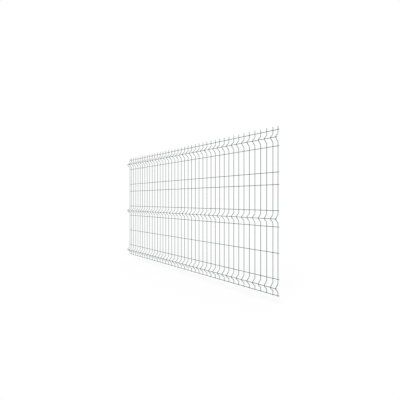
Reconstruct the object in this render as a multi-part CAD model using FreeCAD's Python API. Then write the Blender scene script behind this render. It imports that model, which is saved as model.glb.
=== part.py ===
import FreeCAD, Part
import math
import os

# Welded mesh fence panel: upright wires with level wires welded across their backs,
# the flat sheet pressed into three V-shaped folds that stiffen it.
# Millimetres. X runs along the panel, the folds point to -Y and Z is up.
# The origin is on the back of the lowest level wire, at the middle of its length.

wire_size = 4.5            # one wire, across its flats
upright_count = 42         # wires standing side by side
upright_pitch = 55.0       # between two neighbouring uprights
end_gap = 43.0             # the narrower gap before the outermost upright
level_overhang = 8.5       # level wire past the axis of the outermost upright
flat_gap = 200.0           # between level wires on a flat part
narrow_gap = 95.0          # between the two level wires above mid height
fold_band = 125.0          # between the level wires above and below a fold
fold_depth = 34.5          # how far a fold stands forward, axis to axis
fold_half_height = 31.5    # from the middle of a fold to the corner where its slope starts
bend_reach = 3.5           # from that corner to where the wire starts to turn
tip_clearance = 4.05       # straight tip of a fold beyond the level wire that it seats
spike = 26.5               # upright past the axis of the top level wire
foot = 3.5                 # upright past the axis of the bottom level wire
seam_margin = 20.0         # from a fold's outer level wire to where its mesh ends

level_y = -wire_size / 2.0                # axis of a level wire on the flat parts
upright_y = level_y - wire_size           # axis of the uprights, laid against the level wires
apex_seat = wire_size + tip_clearance     # blunt tip of a fold, with a level wire inside it
inner_count = upright_count - 2           # uprights between the two outermost ones
length_between_ends = upright_pitch * (inner_count - 1) + 2.0 * end_gap
level_length = length_between_ends + 2.0 * level_overhang

# Heights of the level wires, from the bottom up. The three fold tips have theirs midway.
bottom_fold_low = 0.0
bottom_fold_high = bottom_fold_low + fold_band
lower_flat = bottom_fold_high + flat_gap
middle_fold_low = lower_flat + flat_gap
middle_fold_high = middle_fold_low + fold_band
upper_flat_low = middle_fold_high + flat_gap
upper_flat_high = upper_flat_low + narrow_gap
top_fold_low = upper_flat_high + flat_gap
top_fold_high = top_fold_low + fold_band

# Heights of the panel's lower edge, the seams between its meshes, and its upper edge.
panel_foot = bottom_fold_low - foot
bottom_seam = bottom_fold_high + seam_margin
lower_seam = middle_fold_low - seam_margin
upper_seam = middle_fold_high + seam_margin
top_seam = top_fold_low - seam_margin
panel_top = top_fold_high + spike


def upright_places():
    """Places along the panel of the upright wires, end to end."""
    first = -length_between_ends / 2.0
    inner = [first + end_gap + upright_pitch * step for step in range(inner_count)]
    return [first] + inner + [-first]


def wire_outline(centre, side, back):
    """The closed four-sided outline of a wire, its flats facing the side and the back."""
    half = wire_size / 2.0
    corners = []
    for to_side, to_back in ((1, 1), (-1, 1), (-1, -1), (1, -1), (1, 1)):
        corners.append(centre + side * (half * to_side) + back * (half * to_back))
    return Part.makePolygon(corners)


def straight_upright(place, low, high):
    """A straight stretch of one upright."""
    start = FreeCAD.Vector(place, upright_y, low)
    outline = wire_outline(start, FreeCAD.Vector(1, 0, 0), FreeCAD.Vector(0, 1, 0))
    return Part.Face(outline).extrude(FreeCAD.Vector(0, 0, high - low))


def fold_corners(fold_middle):
    """Depth and height of the points where a folded upright turns, from the bottom up."""
    tip_y = upright_y - fold_depth
    slope_rise = fold_half_height - apex_seat / 2.0
    slope_length = math.hypot(fold_depth, slope_rise)
    lower_half = [
        (upright_y, -fold_half_height - bend_reach),
        (upright_y - bend_reach * fold_depth / slope_length,
         -fold_half_height + bend_reach * slope_rise / slope_length),
        (tip_y, -apex_seat / 2.0),
    ]
    upper_half = [(depth, -height) for depth, height in reversed(lower_half)]
    return [(depth, fold_middle + height) for depth, height in lower_half + upper_half]


def folded_upright(place, low, high, fold_middle):
    """A stretch of one upright bent forward once, in a V with a short blunt tip."""
    path = [FreeCAD.Vector(place, upright_y, low)]
    for depth, height in fold_corners(fold_middle):
        path.append(FreeCAD.Vector(place, depth, height))
    path.append(FreeCAD.Vector(place, upright_y, high))
    outline = wire_outline(path[0], FreeCAD.Vector(1, 0, 0), FreeCAD.Vector(0, 1, 0))
    return Part.makePolygon(path).makePipeShell([outline], True, False, 1)


def level_wire(height, forward):
    """One straight level wire, set forward where it lies inside the tip of a fold."""
    start = FreeCAD.Vector(-level_length / 2.0, level_y - forward, height)
    outline = wire_outline(start, FreeCAD.Vector(0, 0, 1), FreeCAD.Vector(0, 1, 0))
    return Part.Face(outline).extrude(FreeCAD.Vector(level_length, 0, 0))


def weld(name, bars):
    """Join crossing wires into one mesh and write it."""
    mesh = bars[0].multiFuse(bars[1:])
    mesh.exportStep(os.path.join("parts", name + ".step"))


def fold_mesh(name, low, high, fold_low, fold_high):
    """A folded band: its stretch of every upright, and level wires around and inside the fold."""
    fold_middle = (fold_low + fold_high) / 2.0
    bars = [folded_upright(place, low, high, fold_middle) for place in upright_places()]
    bars.append(level_wire(fold_low, 0.0))
    bars.append(level_wire(fold_middle, fold_depth))
    bars.append(level_wire(fold_high, 0.0))
    weld(name, bars)


def flat_mesh(name, low, high, levels):
    """A flat band: its stretch of every upright and its plain level wires."""
    bars = [straight_upright(place, low, high) for place in upright_places()]
    for height in levels:
        bars.append(level_wire(height, 0.0))
    weld(name, bars)


os.makedirs("parts", exist_ok=True)
fold_mesh("bottom_fold_mesh", panel_foot, bottom_seam, bottom_fold_low, bottom_fold_high)
flat_mesh("lower_flat_mesh", bottom_seam, lower_seam, [lower_flat])
fold_mesh("middle_fold_mesh", lower_seam, upper_seam, middle_fold_low, middle_fold_high)
flat_mesh("upper_flat_mesh", upper_seam, top_seam, [upper_flat_low, upper_flat_high])
fold_mesh("top_fold_mesh", top_seam, panel_top, top_fold_low, top_fold_high)
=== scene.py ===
"""Looks of a welded mesh fence panel: round bent wires, welds, powder coat, light and camera.

Metres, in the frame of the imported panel: X along the panel, the folds point to -Y, Z is up.
"""

from __future__ import annotations

import logging
import math
from dataclasses import dataclass, field
from enum import Enum

import bpy
import numpy as np
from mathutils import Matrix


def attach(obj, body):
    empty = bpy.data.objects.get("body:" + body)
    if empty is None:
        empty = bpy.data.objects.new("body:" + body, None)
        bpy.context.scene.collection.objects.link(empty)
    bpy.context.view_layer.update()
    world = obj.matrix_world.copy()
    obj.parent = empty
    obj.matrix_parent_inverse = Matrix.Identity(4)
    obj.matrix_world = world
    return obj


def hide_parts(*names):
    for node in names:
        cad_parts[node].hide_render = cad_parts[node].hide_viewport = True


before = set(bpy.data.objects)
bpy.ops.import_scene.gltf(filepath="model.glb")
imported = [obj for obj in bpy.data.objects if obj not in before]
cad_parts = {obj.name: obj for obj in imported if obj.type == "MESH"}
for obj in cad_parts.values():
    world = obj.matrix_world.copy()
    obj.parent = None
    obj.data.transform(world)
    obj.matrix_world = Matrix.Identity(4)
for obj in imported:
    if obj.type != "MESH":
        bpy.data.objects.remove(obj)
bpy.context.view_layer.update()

LOG = logging.getLogger("fence_panel")
FULL_TURN = 2.0 * math.pi
WHITE = (1.0, 1.0, 1.0, 1.0)


class LevelPlace(Enum):
    """Where a level wire lies on the uprights."""

    BACK_PLANE = "back_plane"
    FOLD_TIP = "fold_tip"


class EndCut(Enum):
    """How far the cut end of a wire leans, as a share of the wire's radius."""

    SHEARED = 0.35
    CROPPED = 0.16


class CoatPlace(Enum):
    """Which of a piece's coats a face has, counted as the piece lists them."""

    ALONG = 0
    CUT_END = 1


@dataclass(frozen=True)
class PanelSizes:
    """Sizes that the wires and welds of the panel share."""

    wire_radius: float = 0.00225
    upright_count: int = 42
    upright_pitch: float = 0.055
    end_gap: float = 0.043
    level_overhang: float = 0.0085
    flat_gap: float = 0.200
    narrow_gap: float = 0.095
    fold_band: float = 0.125
    fold_depth: float = 0.0345
    fold_half_height: float = 0.0315
    fold_tip_half: float = 0.004275
    foot_bend_radius: float = 0.0085
    spike: float = 0.0265
    foot: float = 0.0035
    set_down: float = 0.0004

    def inner_count(self) -> int:
        """How many uprights stand between the two outermost ones."""
        return self.upright_count - 2

    def length_between_ends(self) -> float:
        """Distance between the axes of the two outermost uprights."""
        return self.upright_pitch * (self.inner_count() - 1) + 2.0 * self.end_gap

    def axes_apart(self) -> float:
        """Distance between the axes of two crossing wires, one pressed a little into the other."""
        return 2.0 * self.wire_radius - self.set_down

    def level_axis_y(self, place: LevelPlace) -> float:
        """Depth of the axis of a level wire where it lies."""
        forward = self.fold_depth if place is LevelPlace.FOLD_TIP else 0.0
        return -self.wire_radius - forward

    def upright_axis_y(self, place: LevelPlace) -> float:
        """Depth of the uprights' axes where they cross such a level wire."""
        return self.level_axis_y(place) - self.axes_apart()

    def upright_places(self) -> np.ndarray:
        """Places of the uprights along the panel.

        Returns:
            One X value for each upright, from end to end.
        """
        first = -self.length_between_ends() / 2.0
        inner = first + self.end_gap + self.upright_pitch * np.arange(self.inner_count())
        return np.concatenate([[first], inner, [-first]])

    def fold_middles(self) -> list[float]:
        """Heights of the middles of the three folds, from the bottom up."""
        bottom = self.fold_band / 2.0
        middle = bottom + self.fold_band + 2.0 * self.flat_gap
        top = middle + self.fold_band + 2.0 * self.flat_gap + self.narrow_gap
        return [bottom, middle, top]

    def level_wires(self) -> list[tuple[float, LevelPlace]]:
        """Heights of the level wires, from the bottom up.

        Returns:
            The height of each level wire and where it lies.
        """
        bottom, middle, top = self.fold_middles()
        half = self.fold_band / 2.0
        plain = [
            bottom + half + self.flat_gap,
            middle + half + self.flat_gap,
            top - half - self.flat_gap,
        ]
        for fold in (bottom, middle, top):
            plain.extend([fold - half, fold + half])
        wires = [(height, LevelPlace.BACK_PLANE) for height in plain]
        wires.extend((fold, LevelPlace.FOLD_TIP) for fold in (bottom, middle, top))
        return sorted(wires, key=lambda wire: wire[0])

    def panel_top(self) -> float:
        """Height of the tips of the spikes."""
        return self.fold_middles()[-1] + self.fold_band / 2.0 + self.spike


@dataclass(frozen=True)
class PowderCoat:
    """A baked powder coat: a thin, slightly rippled skin of one colour."""

    name: str
    deep: tuple[float, float, float]
    pale: tuple[float, float, float]
    roughness: tuple[float, float]
    mirror: float = 0.5
    drift_scale: float = 9.0
    drift_detail: float = 4.0
    speckle_scale: float = 420.0
    speckle_detail: float = 3.0
    shade_span: tuple[float, float] = (0.7, 1.3)
    ripple_size: float = 0.0016
    ripple_detail: float = 1.5
    ripple_height: float = 0.0002
    ripple_strength: float = 0.5

    def noise(self, tree: bpy.types.NodeTree, scale: float, detail: float) -> bpy.types.NodeSocket:
        """Add a noise that is fixed to the piece.

        Args:
            tree: The material's nodes.
            scale: How many waves it has in a metre.
            detail: How many finer waves lie on them.

        Returns:
            The socket with its value.
        """
        place = tree.nodes.new("ShaderNodeTexCoord")
        noise = tree.nodes.new("ShaderNodeTexNoise")
        noise.inputs["Scale"].default_value = scale
        noise.inputs["Detail"].default_value = detail
        tree.links.new(place.outputs["Object"], noise.inputs["Vector"])
        return noise.outputs["Fac"]

    def colour(self, tree: bpy.types.NodeTree, drift: bpy.types.NodeSocket,
               speckle: bpy.types.NodeSocket) -> bpy.types.NodeSocket:
        """Add the colour, between deep and pale.

        Args:
            tree: The material's nodes.
            drift: The slow noise.
            speckle: The fine noise.

        Returns:
            The socket with the colour.
        """
        both = tree.nodes.new("ShaderNodeMath")
        both.operation = "ADD"
        tree.links.new(drift, both.inputs[0])
        tree.links.new(speckle, both.inputs[1])
        shade = tree.nodes.new("ShaderNodeMapRange")
        shade.inputs["From Min"].default_value = self.shade_span[0]
        shade.inputs["From Max"].default_value = self.shade_span[1]
        tree.links.new(both.outputs["Value"], shade.inputs["Value"])
        colour = tree.nodes.new("ShaderNodeMix")
        colour.data_type = "RGBA"
        colour.inputs["A"].default_value = (*self.deep, 1.0)
        colour.inputs["B"].default_value = (*self.pale, 1.0)
        tree.links.new(shade.outputs["Result"], colour.inputs["Factor"])
        return colour.outputs["Result"]

    def gloss(self, tree: bpy.types.NodeTree, speckle: bpy.types.NodeSocket) -> bpy.types.NodeSocket:
        """Add the uneven gloss.

        Args:
            tree: The material's nodes.
            speckle: The fine noise.

        Returns:
            The socket with the roughness.
        """
        gloss = tree.nodes.new("ShaderNodeMapRange")
        gloss.inputs["To Min"].default_value = self.roughness[0]
        gloss.inputs["To Max"].default_value = self.roughness[1]
        tree.links.new(speckle, gloss.inputs["Value"])
        return gloss.outputs["Result"]

    def ripples(self, tree: bpy.types.NodeTree) -> bpy.types.NodeSocket:
        """Add the ripples that the powder leaves as it melts.

        Args:
            tree: The material's nodes.

        Returns:
            The socket with the rippled normal.
        """
        bump = tree.nodes.new("ShaderNodeBump")
        bump.inputs["Strength"].default_value = self.ripple_strength
        bump.inputs["Distance"].default_value = self.ripple_height
        ripple = self.noise(tree, 1.0 / self.ripple_size, self.ripple_detail)
        tree.links.new(ripple, bump.inputs["Height"])
        return bump.outputs["Normal"]

    def make(self) -> bpy.types.Material:
        """Build the coat's material.

        Returns:
            A node material with drifting colour, uneven gloss and a rippled surface.
        """
        material = bpy.data.materials.new(self.name)
        material.use_nodes = True
        tree = material.node_tree
        shader = tree.nodes["Principled BSDF"]
        shader.inputs["Specular IOR Level"].default_value = self.mirror
        drift = self.noise(tree, self.drift_scale, self.drift_detail)
        speckle = self.noise(tree, self.speckle_scale, self.speckle_detail)
        tree.links.new(self.colour(tree, drift, speckle), shader.inputs["Base Color"])
        tree.links.new(self.gloss(tree, speckle), shader.inputs["Roughness"])
        tree.links.new(self.ripples(tree), shader.inputs["Normal"])
        return material


@dataclass(frozen=True)
class PanelCoats:
    """The coats of the panel: on the wires, over the welds and on the cut ends."""

    wires: PowderCoat = PowderCoat(
        name="moss_green_coat",
        deep=(0.0025, 0.066, 0.050),
        pale=(0.006, 0.096, 0.074),
        roughness=(0.30, 0.48),
    )
    # The coat over the welds is smoother where the powder pools. Its colour is painted a little
    # darker than the wires' coat, as painted shade in the crevice where the wires cross.
    welds: PowderCoat = PowderCoat(
        name="pooled_coat_painted_shade",
        deep=(0.0022, 0.061, 0.046),
        pale=(0.0055, 0.089, 0.068),
        roughness=(0.22, 0.38),
        ripple_size=0.0011,
    )
    ends: PowderCoat = PowderCoat(
        name="thin_green_coat",
        deep=(0.008, 0.078, 0.060),
        pale=(0.048, 0.128, 0.106),
        roughness=(0.42, 0.60),
        ripple_size=0.0007,
    )


@dataclass
class MeshStore:
    """Points and faces gathered for one joined mesh."""

    points: list[np.ndarray] = field(default_factory=list)
    faces: list[tuple[int, ...]] = field(default_factory=list)
    coats: list[int] = field(default_factory=list)
    smooth: list[bool] = field(default_factory=list)
    count: int = 0

    def add_points(self, points: np.ndarray) -> int:
        """Add points.

        Args:
            points: One row of X, Y and Z for each point.

        Returns:
            The index of the first of them in the joined mesh.
        """
        first = self.count
        self.points.append(points)
        self.count += len(points)
        return first

    def add_face(self, corners: tuple[int, ...], coat: CoatPlace, smooth: bool) -> None:
        """Add one face.

        Args:
            corners: Indices of its points, in turn.
            coat: Which coat it has.
            smooth: Whether it is shaded as part of a curved surface.
        """
        self.faces.append(corners)
        self.coats.append(coat.value)
        self.smooth.append(smooth)

    def add_tube(self, rings: np.ndarray, end_coat: CoatPlace) -> None:
        """Add a closed tube: neighbouring rings joined by four-sided faces, and two flat ends.

        Args:
            rings: The rings, counted as rings by points by three, turning to the right
                when looked along from the first ring to the last.
            end_coat: Which coat the flat ends have.
        """
        ring_count, sides = rings.shape[:2]
        first = self.add_points(rings.reshape(-1, 3))
        for ring in range(ring_count - 1):
            low = first + ring * sides
            for side in range(sides):
                after = (side + 1) % sides
                corners = (low + side, low + after, low + sides + after, low + sides + side)
                self.add_face(corners, CoatPlace.ALONG, True)
        last = first + (ring_count - 1) * sides
        self.add_face(tuple(range(first + sides - 1, first - 1, -1)), end_coat, False)
        self.add_face(tuple(range(last, last + sides)), end_coat, False)

    def make(self, name: str, materials: list[bpy.types.Material]) -> bpy.types.Object:
        """Turn what was gathered into one object.

        Args:
            name: Name of the piece.
            materials: Its coats, in the order that the faces count them.

        Returns:
            The new object, at the origin.
        """
        mesh = bpy.data.meshes.new(name)
        mesh.from_pydata(np.concatenate(self.points).tolist(), [], self.faces)
        for material in materials:
            mesh.materials.append(material)
        mesh.polygons.foreach_set("material_index", self.coats)
        mesh.polygons.foreach_set("use_smooth", self.smooth)
        mesh.update()
        piece = bpy.data.objects.new(name, mesh)
        bpy.context.scene.collection.objects.link(piece)
        return piece


def unit(vector: np.ndarray) -> np.ndarray:
    """The vector of length one that points the same way."""
    return vector / np.linalg.norm(vector)


def rounded_corner(before: np.ndarray, corner: np.ndarray, after: np.ndarray,
                   radius: float, steps: int) -> np.ndarray:
    """Points of an arc that rounds one corner of a path.

    Args:
        before: The path's point before the corner.
        corner: The corner itself.
        after: The path's point after the corner.
        radius: Radius of the bend at the wire's axis.
        steps: How many straight steps make up the arc.

    Returns:
        The arc's points, from the side before the corner to the side after it.
    """
    back = unit(before - corner)
    ahead = unit(after - corner)
    half = math.acos(float(np.clip(np.dot(back, ahead), -1.0, 1.0))) / 2.0
    inward = unit(back + ahead)
    along = unit(ahead - back)
    centre = corner + inward * (radius / math.sin(half))
    sweep = math.pi / 2.0 - half
    turns = np.linspace(-sweep, sweep, steps + 1)
    return np.array([centre - inward * radius * math.cos(turn) + along * radius * math.sin(turn)
                     for turn in turns])


@dataclass(frozen=True)
class WirePath:
    """The axis of one wire, all in one plane, and how tools flattened the wire along it."""

    points: np.ndarray
    bend_press: np.ndarray
    weld_dent: np.ndarray

    def moved(self, way: np.ndarray) -> WirePath:
        """The same path, set down elsewhere."""
        return WirePath(self.points + way, self.bend_press, self.weld_dent)


@dataclass(frozen=True)
class RoundWire:
    """One length of round wire swept along a flat path, with cut ends."""

    radius: float
    sides: int = 16
    end_bevel: float = 0.0003
    press_thinning: float = 0.07
    press_widening: float = 0.035

    def bevelled_axis(self, points: np.ndarray) -> tuple[np.ndarray, np.ndarray]:
        """A wire's axis with a short step at each end for the bevel of the cut.

        Args:
            points: The axis as the path gives it.

        Returns:
            The points of the axis, and the way that it runs at each of them.
        """
        start_way = unit(points[1] - points[0])
        end_way = unit(points[-1] - points[-2])
        axis = np.vstack([
            points[0],
            points[0] + start_way * self.end_bevel,
            points[1:-1],
            points[-1] - end_way * self.end_bevel,
            points[-1],
        ])
        way = np.gradient(axis, axis=0)
        way[:2] = start_way
        way[-2:] = end_way
        return axis, way / np.linalg.norm(way, axis=1)[:, None]

    def rings(self, path: WirePath, across: np.ndarray, cut: EndCut, lean: float) -> np.ndarray:
        """Rings of points around a path.

        Args:
            path: The wire's axis. Welding dents lie on the side away from the crossing wire.
            across: Unit vector square to the path's plane.
            cut: How the ends are cut.
            lean: Angle around the axis to which a leaning cut falls away.

        Returns:
            The rings, counted as rings by points by three, with a bevel at each end.
        """
        axis, way = self.bevelled_axis(path.points)
        normal = np.cross(way, across)
        turn = FULL_TURN * np.arange(self.sides) / self.sides
        reach = np.full(len(axis), self.radius)
        reach[[0, -1]] -= self.end_bevel
        press = np.concatenate([[0.0], path.bend_press, [0.0]])
        dent = np.concatenate([[0.0], path.weld_dent, [0.0]])
        wide = reach * (1.0 + self.press_widening * press)
        thick = reach * (1.0 - self.press_thinning * press)
        sideways = np.cos(turn)[None, :] * wide[:, None]
        inwards = np.maximum(np.sin(turn)[None, :] * thick[:, None], (dent - thick)[:, None])
        rings = axis[:, None, :] + sideways[:, :, None] * across
        rings += inwards[:, :, None] * normal[:, None, :]
        fall = cut.value * self.radius * (1.0 - np.cos(turn - lean)) / 2.0
        rings[:2] += fall[None, :, None] * way[0]
        rings[-2:] -= fall[None, :, None] * way[-1]
        return rings


@dataclass(frozen=True)
class ElectrodeMark:
    """The shallow flat that a welding electrode leaves on a wire, across from the weld."""

    depth: float = 0.00022
    half_length: float = 0.0030
    end_clear: float = 0.0015

    def dent(self, places: np.ndarray, welds: np.ndarray) -> np.ndarray:
        """Depth of the flats along a wire.

        Args:
            places: Where the depth is wanted, counted along the wire.
            welds: Where the welds are, counted the same way.

        Returns:
            The depth at each place, which is 0 between the flats.
        """
        away = np.abs(places[:, None] - welds[None, :]).min(axis=1)
        return self.depth * np.maximum(0.0, 1.0 - (away / self.half_length) ** 2)

    def stations(self, welds: np.ndarray, low: float, high: float) -> np.ndarray:
        """Places along a straight wire that are needed to shape it.

        Args:
            welds: Places of its welds.
            low: Where the wire starts.
            high: Where it ends.

        Returns:
            The wire's two ends, and the middles and rims of the flats that are clear of them.
        """
        marks = np.concatenate([welds - self.half_length, welds, welds + self.half_length])
        clear = (marks > low + self.end_clear) & (marks < high - self.end_clear)
        return np.concatenate([[low], np.sort(marks[clear]), [high]])


@dataclass
class Uprights:
    """The upright wires, each bent forward in three folds."""

    sizes: PanelSizes
    mark: ElectrodeMark = field(default_factory=ElectrodeMark)
    foot_steps: int = 6
    tip_steps: int = 12
    seed: int = 4

    def bends(self) -> list[tuple[np.ndarray, float, int]]:
        """Sharp corners of one upright at X = 0.

        Returns:
            Each corner's point, the radius that rounds it and the steps of its arc.
        """
        sizes = self.sizes
        flat_y = sizes.upright_axis_y(LevelPlace.BACK_PLANE)
        slope = sizes.fold_depth / (sizes.fold_half_height - sizes.fold_tip_half)
        sharp_depth = slope * sizes.fold_half_height
        half_turn = math.atan(1.0 / slope)
        tip_radius = (sharp_depth - sizes.fold_depth) / (1.0 / math.sin(half_turn) - 1.0)
        bends = []
        for middle in sizes.fold_middles():
            foot_low = np.array([0.0, flat_y, middle - sizes.fold_half_height])
            tip = np.array([0.0, flat_y - sharp_depth, middle])
            foot_high = np.array([0.0, flat_y, middle + sizes.fold_half_height])
            bends.append((foot_low, sizes.foot_bend_radius, self.foot_steps))
            bends.append((tip, tip_radius, self.tip_steps))
            bends.append((foot_high, sizes.foot_bend_radius, self.foot_steps))
        return bends

    def path(self) -> WirePath:
        """Axis of one upright at X = 0.

        Returns:
            The path from the foot to the spike, with true bend radii.
        """
        sizes = self.sizes
        flat_y = sizes.upright_axis_y(LevelPlace.BACK_PLANE)
        low = -sizes.foot
        high = sizes.panel_top()
        levels = sizes.level_wires()
        welds = np.array([height for height, _ in levels])
        in_back_plane = [place is LevelPlace.BACK_PLANE for _, place in levels]
        heights = self.mark.stations(welds[in_back_plane], low, high)
        points = [np.stack(np.broadcast_arrays(0.0, flat_y, heights), axis=1)]
        press = [np.zeros(len(heights))]
        bends = self.bends()
        corners = [np.array([0.0, flat_y, low])]
        corners.extend(corner for corner, _, _ in bends)
        corners.append(np.array([0.0, flat_y, high]))
        for index, (corner, radius, steps) in enumerate(bends):
            points.append(rounded_corner(corners[index], corner, corners[index + 2], radius, steps))
            press.append(np.sin(math.pi * np.linspace(0.0, 1.0, steps + 1)))
        joined = np.vstack(points)
        upwards = np.argsort(joined[:, 2])
        joined = joined[upwards]
        return WirePath(joined, np.concatenate(press)[upwards], self.mark.dent(joined[:, 2], welds))

    def build(self, coats: list[bpy.types.Material]) -> bpy.types.Object:
        """Build all uprights as one joined piece.

        Args:
            coats: The coat of the wires and the coat of their cut ends.

        Returns:
            The piece, coated.
        """
        store = MeshStore()
        wire = RoundWire(self.sizes.wire_radius)
        path = self.path()
        across = np.array([1.0, 0.0, 0.0])
        chance = np.random.default_rng(self.seed)
        for place in self.sizes.upright_places():
            lean = chance.uniform(0.0, FULL_TURN)
            rings = wire.rings(path.moved(across * place), across, EndCut.SHEARED, lean)
            store.add_tube(rings, CoatPlace.CUT_END)
        return store.make("upright_wires", coats)


@dataclass
class LevelWires:
    """The straight level wires behind the uprights."""

    sizes: PanelSizes
    mark: ElectrodeMark = field(default_factory=ElectrodeMark)
    seed: int = 9

    def path(self, height: float, place: LevelPlace) -> WirePath:
        """Axis of one level wire.

        Args:
            height: Its height.
            place: Where it lies on the uprights.

        Returns:
            The path from end to end.
        """
        reach = self.sizes.length_between_ends() / 2.0 + self.sizes.level_overhang
        welds = self.sizes.upright_places()
        stations = self.mark.stations(welds, -reach, reach)
        depth = self.sizes.level_axis_y(place)
        points = np.stack(np.broadcast_arrays(stations, depth, height), axis=1)
        return WirePath(points, np.zeros(len(stations)), self.mark.dent(stations, welds))

    def build(self, coats: list[bpy.types.Material]) -> bpy.types.Object:
        """Build all level wires as one joined piece.

        Args:
            coats: The coat of the wires and the coat of their cut ends.

        Returns:
            The piece, coated.
        """
        store = MeshStore()
        wire = RoundWire(self.sizes.wire_radius)
        across = np.array([0.0, 0.0, 1.0])
        chance = np.random.default_rng(self.seed)
        for height, place in self.sizes.level_wires():
            lean = chance.uniform(0.0, FULL_TURN)
            rings = wire.rings(self.path(height, place), across, EndCut.CROPPED, lean)
            store.add_tube(rings, CoatPlace.CUT_END)
        return store.make("level_wires", coats)


@dataclass
class Welds:
    """The collars of fused metal where the wires cross."""

    sizes: PanelSizes
    collar_reach: float = 0.00190
    waist_reach: float = 0.00150
    size_span: tuple[float, float] = (0.92, 1.06)
    corner_span: tuple[float, float] = (0.04, 0.30)
    corner_count: int = 4
    segments: int = 20
    bands: int = 6
    seed: int = 2

    def collar(self, size: float, corner_fill: np.ndarray) -> np.ndarray:
        """Rings of one collar, between an upright and the level wire behind it.

        Args:
            size: How large it is, as a share of the usual collar.
            corner_fill: How much further it is squeezed out into each of the four corners.

        Returns:
            The rings, from the level wire to the upright, with the upright's axis at Y = 0.
        """
        radius = self.sizes.wire_radius
        reach = self.collar_reach * size
        waist = self.waist_reach * size
        turn = FULL_TURN * np.arange(self.segments) / self.segments
        corner = (np.arange(self.segments) * self.corner_count) // self.segments
        squeeze = 1.0 + corner_fill[corner] * np.sin(self.corner_count * turn / 2.0) ** 2
        rings = []
        for share in np.linspace(1.0, 0.0, self.bands + 1):
            hollow = math.sin(math.pi * share)
            out = (reach + (waist - reach) * hollow) * squeeze
            x = out * np.cos(turn)
            z = out * np.sin(turn)
            on_upright = np.sqrt(radius ** 2 - x ** 2)
            on_level = self.sizes.axes_apart() - np.sqrt(radius ** 2 - z ** 2)
            across_gap = share * share * (3.0 - 2.0 * share)
            y = on_upright + (on_level - on_upright) * across_gap
            rings.append(np.stack([x, y, z], axis=1))
        return np.array(rings)

    def build(self, coats: list[bpy.types.Material]) -> bpy.types.Object:
        """Build all collars as one joined piece.

        Args:
            coats: The coat over the welds, alone in its list.

        Returns:
            The piece, coated.
        """
        store = MeshStore()
        chance = np.random.default_rng(self.seed)
        for height, place in self.sizes.level_wires():
            depth = self.sizes.upright_axis_y(place)
            for x in self.sizes.upright_places():
                size = chance.uniform(*self.size_span)
                fill = chance.uniform(*self.corner_span, self.corner_count)
                rings = self.collar(size, fill) + np.array([x, depth, height])
                store.add_tube(rings, CoatPlace.ALONG)
        return store.make("weld_collars", coats)


@dataclass
class FencePanel:
    """The whole panel: uprights, level wires and the welds that join them."""

    sizes: PanelSizes = field(default_factory=PanelSizes)
    coats: PanelCoats = field(default_factory=PanelCoats)

    def build(self) -> list[bpy.types.Object]:
        """Build the pieces and set them in place of the plain meshes.

        Returns:
            The pieces.
        """
        wire_coats = [self.coats.wires.make(), self.coats.ends.make()]
        uprights = Uprights(self.sizes).build(wire_coats)
        levels = LevelWires(self.sizes).build(wire_coats)
        welds = Welds(self.sizes).build([self.coats.welds.make()])
        pieces = [uprights, levels, welds]
        for piece in pieces:
            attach(piece, "root")
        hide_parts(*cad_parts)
        return pieces


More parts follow.
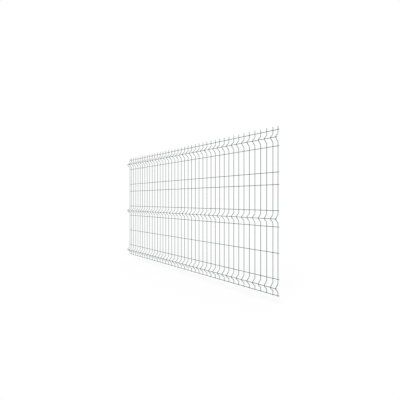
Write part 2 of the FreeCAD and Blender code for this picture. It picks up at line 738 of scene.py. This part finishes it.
@dataclass
class Studio:
    """White surroundings, soft light and the camera."""

    floor_height: float = -0.08
    floor_half_size: float = 14.0
    floor_colour: float = 0.30
    floor_roughness: float = 0.9
    floor_lift: float = 0.69
    sky_light: float = 0.55
    key_strength: float = 2.2
    key_spread_deg: float = 30.0
    key_lean_deg: float = 45.0
    key_azimuth_deg: float = 20.0
    camera_place: tuple[float, float, float] = (2.1581, -1.8375, 0.7314)
    camera_lean_deg: float = 90.0
    camera_azimuth_deg: float = 46.01
    lens: float = 23.912
    sensor_width: float = 36.0
    view_reach: float = 200.0

    def seen_directly(self, tree: bpy.types.NodeTree) -> bpy.types.NodeSocket:
        """A value of one for rays from the camera, mirror rays and rays through glass.

        Args:
            tree: The node tree that uses it.

        Returns:
            The socket that carries the value.
        """
        ray = tree.nodes.new("ShaderNodeLightPath")
        total: bpy.types.NodeSocket = ray.outputs["Is Camera Ray"]
        for name in ("Is Glossy Ray", "Is Transmission Ray"):
            either = tree.nodes.new("ShaderNodeMath")
            either.operation = "MAXIMUM"
            tree.links.new(total, either.inputs[0])
            tree.links.new(ray.outputs[name], either.inputs[1])
            total = either.outputs["Value"]
        return total

    def build_world(self) -> None:
        """White surroundings that light the panel evenly."""
        world = bpy.data.worlds.new("white_studio")
        world.use_nodes = True
        tree = world.node_tree
        background = tree.nodes["Background"]
        background.inputs["Color"].default_value = WHITE
        level = tree.nodes.new("ShaderNodeMapRange")
        level.inputs["To Min"].default_value = self.sky_light
        level.inputs["To Max"].default_value = 1.0
        tree.links.new(self.seen_directly(tree), level.inputs["Value"])
        tree.links.new(level.outputs["Result"], background.inputs["Strength"])
        bpy.context.scene.world = world

    def floor_material(self) -> bpy.types.Material:
        """The floor's pale, dull paint, lifted to white where it is seen directly.

        Returns:
            The material.
        """
        material = bpy.data.materials.new("pale_floor")
        material.use_nodes = True
        tree = material.node_tree
        shader = tree.nodes["Principled BSDF"]
        shade = self.floor_colour
        shader.inputs["Base Color"].default_value = (shade, shade, shade, 1.0)
        shader.inputs["Roughness"].default_value = self.floor_roughness
        shader.inputs["Specular IOR Level"].default_value = 0.0
        shader.inputs["Emission Color"].default_value = WHITE
        lift = tree.nodes.new("ShaderNodeMath")
        lift.operation = "MULTIPLY"
        lift.inputs[1].default_value = self.floor_lift
        tree.links.new(self.seen_directly(tree), lift.inputs[0])
        tree.links.new(lift.outputs["Value"], shader.inputs["Emission Strength"])
        return material

    def build_floor(self) -> bpy.types.Object:
        """A pale floor that keeps the panel's shadow.

        Returns:
            The floor.
        """
        half = self.floor_half_size
        corners = [(-half, -half), (half, -half), (half, half), (-half, half)]
        mesh = bpy.data.meshes.new("floor")
        mesh.from_pydata([(x, y, self.floor_height) for x, y in corners], [], [(0, 1, 2, 3)])
        mesh.materials.append(self.floor_material())
        floor = bpy.data.objects.new("floor", mesh)
        bpy.context.scene.collection.objects.link(floor)
        return floor

    def build_key(self) -> None:
        """One wide, soft light from above and in front of the panel."""
        lamp = bpy.data.lights.new("soft_key", "SUN")
        lamp.energy = self.key_strength
        lamp.angle = math.radians(self.key_spread_deg)
        key = bpy.data.objects.new("soft_key", lamp)
        lean = math.radians(self.key_lean_deg)
        key.rotation_euler = (lean, 0.0, math.radians(self.key_azimuth_deg))
        bpy.context.scene.collection.objects.link(key)

    def build_camera(self) -> None:
        """The camera at the photo's place and angle, looking level."""
        lens = bpy.data.cameras.new("photo_view")
        lens.lens = self.lens
        lens.sensor_width = self.sensor_width
        lens.clip_end = self.view_reach
        camera = bpy.data.objects.new("photo_view", lens)
        camera.location = self.camera_place
        lean = math.radians(self.camera_lean_deg)
        camera.rotation_euler = (lean, 0.0, math.radians(self.camera_azimuth_deg))
        bpy.context.scene.collection.objects.link(camera)
        bpy.context.scene.camera = camera

    def build(self) -> None:
        """Set the stage, the light and the camera."""
        self.build_world()
        self.build_floor()
        self.build_key()
        self.build_camera()
        bpy.context.scene.view_settings.view_transform = "Standard"


def main() -> None:
    """Build the panel and the studio."""
    logging.basicConfig(level=logging.INFO, format="%(name)s: %(message)s")
    for piece in FencePanel().build():
        LOG.info("%s with %d faces", piece.name, len(piece.data.polygons))
    Studio().build()


if __name__ == "__main__":
    main()
